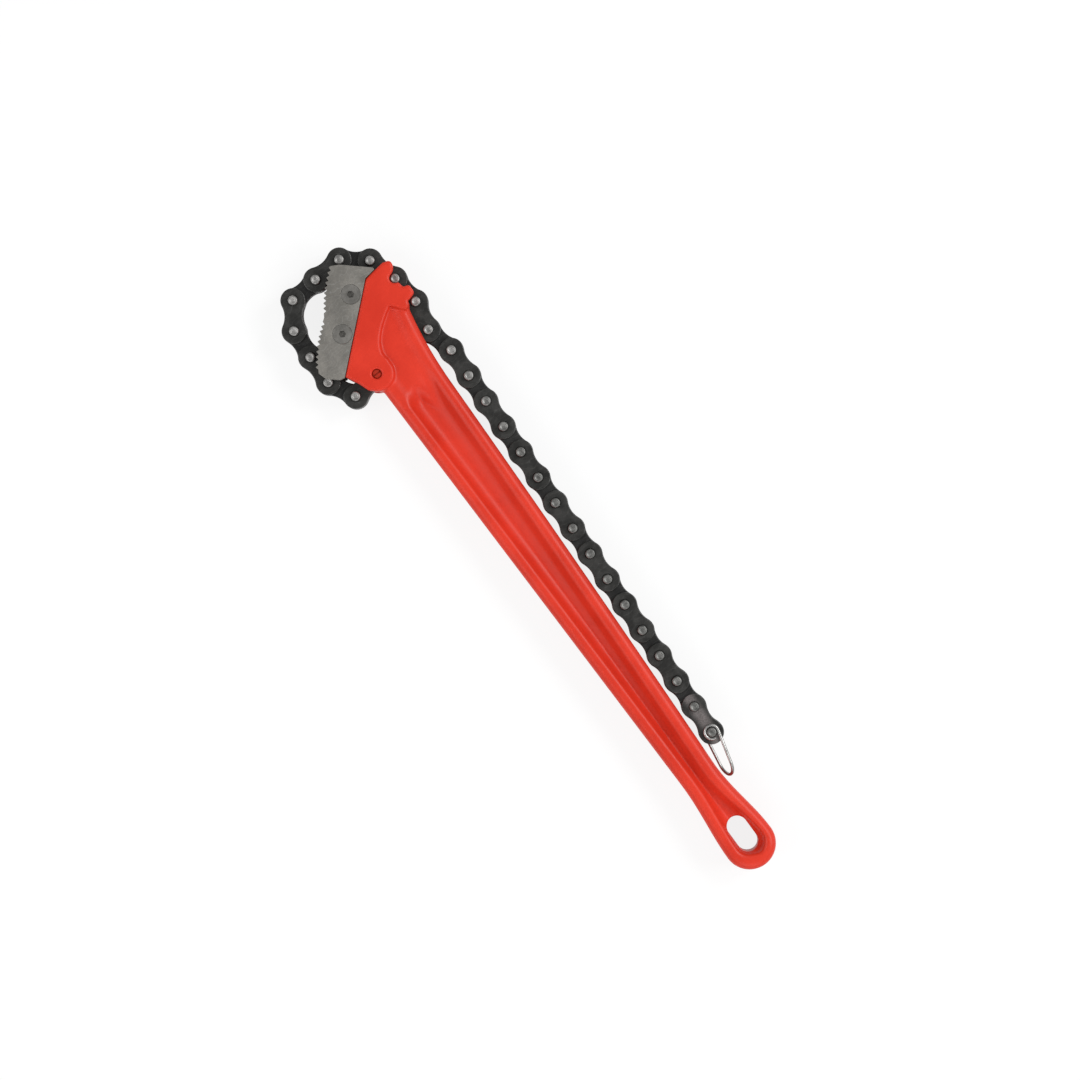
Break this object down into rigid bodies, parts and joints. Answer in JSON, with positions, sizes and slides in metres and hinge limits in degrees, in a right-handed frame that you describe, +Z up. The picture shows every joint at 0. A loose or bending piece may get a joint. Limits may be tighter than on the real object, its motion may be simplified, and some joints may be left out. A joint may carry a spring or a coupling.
{
  "type": "chain pipe wrench",
  "caption": "Heavy chain pipe wrench with a forked cast handle, toothed jaw plates, an anchored leaf chain that hooks in a notch on the head, and a hanging eye",
  "frame": {"origin": "under the anchor bolt's axis, on the lower face of the head that the wrench lies on", "axes": "+X from the head along the handle to the hanging eye, +Y to the side that the chain lies on, +Z up, square to the head's face and along every pin"},
  "size_m": [0.4649, 0.0888, 0.0294],
  "materials": {
    "red_paint": "glossy red enamel over a casting",
    "jaw_steel": "dull grey hardened steel",
    "screw_steel": "dull dark steel",
    "chain_black": "oiled black oxide",
    "pin_steel": "ground pin ends",
    "bright_wire": "plated spring wire"
  },
  "bodies": {
    "handle": {"handle": "red_paint", "jaw_near": "jaw_steel", "jaw_far": "jaw_steel", "jaw_screws": "screw_steel", "jaw_sleeves": "screw_steel", "anchor_bolt": "screw_steel", "anchor_nut": "screw_steel"},
    "link_01": {"outer_link_01": "chain_black", "link_pins_01": "pin_steel"},
    "link_02": {"inner_link_02": "chain_black"},
    "link_03": {"outer_link_03": "chain_black", "link_pins_03": "pin_steel"},
    "link_04": {"inner_link_04": "chain_black"},
    "link_05": {"outer_link_05": "chain_black", "link_pins_05": "pin_steel"},
    "link_06": {"inner_link_06": "chain_black"},
    "link_07": {"outer_link_07": "chain_black", "link_pins_07": "pin_steel"},
    "link_08": {"inner_link_08": "chain_black"},
    "link_09": {"outer_link_09": "chain_black", "link_pins_09": "pin_steel"},
    "link_10": {"inner_link_10": "chain_black"},
    "link_11": {"outer_link_11": "chain_black", "link_pins_11": "pin_steel"},
    "link_12": {"inner_link_12": "chain_black"},
    "link_13": {"outer_link_13": "chain_black", "link_pins_13": "pin_steel"},
    "link_14": {"inner_link_14": "chain_black"},
    "link_15": {"outer_link_15": "chain_black", "link_pins_15": "pin_steel"},
    "link_16": {"inner_link_16": "chain_black"},
    "link_17": {"outer_link_17": "chain_black", "link_pins_17": "pin_steel"},
    "link_18": {"inner_link_18": "chain_black"},
    "link_19": {"outer_link_19": "chain_black", "link_pins_19": "pin_steel"},
    "link_20": {"inner_link_20": "chain_black"},
    "link_21": {"outer_link_21": "chain_black", "link_pins_21": "pin_steel"},
    "link_22": {"inner_link_22": "chain_black"},
    "link_23": {"outer_link_23": "chain_black", "link_pins_23": "pin_steel"},
    "link_24": {"inner_link_24": "chain_black"},
    "link_25": {"outer_link_25": "chain_black", "link_pins_25": "pin_steel"},
    "link_26": {"inner_link_26": "chain_black"},
    "link_27": {"outer_link_27": "chain_black", "link_pins_27": "pin_steel"},
    "ring": {"pull_ring": "bright_wire"}
  },
  "joints": [
    {"name": "anchor_hinge", "type": "hinge", "parent": "handle", "child": "link_01", "pos_m": [0, 0, 0.0147], "axis": [0, 0, 1], "range_deg": [-6, 0]},
    {"name": "loop_hinge_02", "type": "hinge", "parent": "link_01", "child": "link_02", "pos_m": [0.00298, -0.01882, 0.0147], "axis": [0, 0, 1], "range_deg": [-7.5, 0]},
    {"name": "loop_hinge_03", "type": "hinge", "parent": "link_02", "child": "link_03", "pos_m": [-0.01399, -0.02746, 0.0147], "axis": [0, 0, 1], "range_deg": [-5, 0]},
    {"name": "loop_hinge_04", "type": "hinge", "parent": "link_03", "child": "link_04", "pos_m": [-0.03304, -0.02713, 0.0147], "axis": [0, 0, 1], "range_deg": [0, 2.5]},
    {"name": "loop_hinge_05", "type": "hinge", "parent": "link_04", "child": "link_05", "pos_m": [-0.05204, -0.0258, 0.0147], "axis": [0, 0, 1], "range_deg": [0, 5]},
    {"name": "loop_hinge_06", "type": "hinge", "parent": "link_05", "child": "link_06", "pos_m": [-0.06784, -0.01515, 0.0147], "axis": [0, 0, 1], "range_deg": [0, 10]},
    {"name": "loop_hinge_07", "type": "hinge", "parent": "link_06", "child": "link_07", "pos_m": [-0.06983, 0.0038, 0.0147], "axis": [0, 0, 1], "range_deg": [0, 10]},
    {"name": "loop_hinge_08", "type": "hinge", "parent": "link_07", "child": "link_08", "pos_m": [-0.07116, 0.0228, 0.0147], "axis": [0, 0, 1], "range_deg": [0, 17.5]},
    {"name": "hook_swing", "type": "hinge", "parent": "link_08", "child": "link_09", "pos_m": [-0.05943, 0.03781, 0.0147], "axis": [0, 0, 1], "range_deg": [0, 50]},
    {"name": "tail_hinge_10", "type": "hinge", "parent": "link_09", "child": "link_10", "pos_m": [-0.04131, 0.0437, 0.0147], "axis": [0, 0, 1], "range_deg": [0, 24]},
    {"name": "tail_hinge_11", "type": "hinge", "parent": "link_10", "child": "link_11", "pos_m": [-0.02237, 0.04569, 0.0147], "axis": [0, 0, 1], "range_deg": [0, 24]},
    {"name": "tail_hinge_12", "type": "hinge", "parent": "link_11", "child": "link_12", "pos_m": [-0.00373, 0.04173, 0.0147], "axis": [0, 0, 1], "range_deg": [0, 24]},
    {"name": "tail_hinge_13", "type": "hinge", "parent": "link_12", "child": "link_13", "pos_m": [0.0149, 0.04569, 0.0147], "axis": [0, 0, 1], "range_deg": [0, 24]},
    {"name": "tail_hinge_14", "type": "hinge", "parent": "link_13", "child": "link_14", "pos_m": [0.03394, 0.04502, 0.0147], "axis": [0, 0, 1], "range_deg": [0, 24]},
    {"name": "tail_hinge_15", "type": "hinge", "parent": "link_14", "child": "link_15", "pos_m": [0.05298, 0.04436, 0.0147], "axis": [0, 0, 1], "range_deg": [0, 24]},
    {"name": "tail_hinge_16", "type": "hinge", "parent": "link_15", "child": "link_16", "pos_m": [0.07202, 0.04369, 0.0147], "axis": [0, 0, 1], "range_deg": [0, 24]},
    {"name": "tail_hinge_17", "type": "hinge", "parent": "link_16", "child": "link_17", "pos_m": [0.09105, 0.04303, 0.0147], "axis": [0, 0, 1], "range_deg": [0, 24]},
    {"name": "tail_hinge_18", "type": "hinge", "parent": "link_17", "child": "link_18", "pos_m": [0.11009, 0.04236, 0.0147], "axis": [0, 0, 1], "range_deg": [0, 30]},
    {"name": "tail_hinge_19", "type": "hinge", "parent": "link_18", "child": "link_19", "pos_m": [0.12913, 0.0417, 0.0147], "axis": [0, 0, 1], "range_deg": [0, 30]},
    {"name": "tail_hinge_20", "type": "hinge", "parent": "link_19", "child": "link_20", "pos_m": [0.14817, 0.04104, 0.0147], "axis": [0, 0, 1], "range_deg": [0, 30]},
    {"name": "tail_hinge_21", "type": "hinge", "parent": "link_20", "child": "link_21", "pos_m": [0.16721, 0.04037, 0.0147], "axis": [0, 0, 1], "range_deg": [0, 30]},
    {"name": "tail_hinge_22", "type": "hinge", "parent": "link_21", "child": "link_22", "pos_m": [0.18625, 0.03971, 0.0147], "axis": [0, 0, 1], "range_deg": [0, 30]},
    {"name": "tail_hinge_23", "type": "hinge", "parent": "link_22", "child": "link_23", "pos_m": [0.20529, 0.03904, 0.0147], "axis": [0, 0, 1], "range_deg": [0, 30]},
    {"name": "tail_hinge_24", "type": "hinge", "parent": "link_23", "child": "link_24", "pos_m": [0.22432, 0.03838, 0.0147], "axis": [0, 0, 1], "range_deg": [0, 45]},
    {"name": "tail_hinge_25", "type": "hinge", "parent": "link_24", "child": "link_25", "pos_m": [0.24336, 0.03771, 0.0147], "axis": [0, 0, 1], "range_deg": [0, 45]},
    {"name": "tail_hinge_26", "type": "hinge", "parent": "link_25", "child": "link_26", "pos_m": [0.2624, 0.03705, 0.0147], "axis": [0, 0, 1], "range_deg": [0, 45]},
    {"name": "tail_hinge_27", "type": "hinge", "parent": "link_26", "child": "link_27", "pos_m": [0.28144, 0.03638, 0.0147], "axis": [0, 0, 1], "range_deg": [0, 45]},
    {"name": "ring_hinge", "type": "hinge", "parent": "link_27", "child": "ring", "pos_m": [0.30048, 0.03572, 0.0147], "axis": [0, 0, 1], "range_deg": [0, 90]}
  ],
  "couplings": [
    {"joint": "anchor_hinge", "follows": "hook_swing", "ratio": -0.12},
    {"joint": "loop_hinge_02", "follows": "hook_swing", "ratio": -0.15},
    {"joint": "loop_hinge_03", "follows": "hook_swing", "ratio": -0.1},
    {"joint": "loop_hinge_04", "follows": "hook_swing", "ratio": 0.05},
    {"joint": "loop_hinge_05", "follows": "hook_swing", "ratio": 0.1},
    {"joint": "loop_hinge_06", "follows": "hook_swing", "ratio": 0.2},
    {"joint": "loop_hinge_07", "follows": "hook_swing", "ratio": 0.2},
    {"joint": "loop_hinge_08", "follows": "hook_swing", "ratio": 0.35}
  ]
}
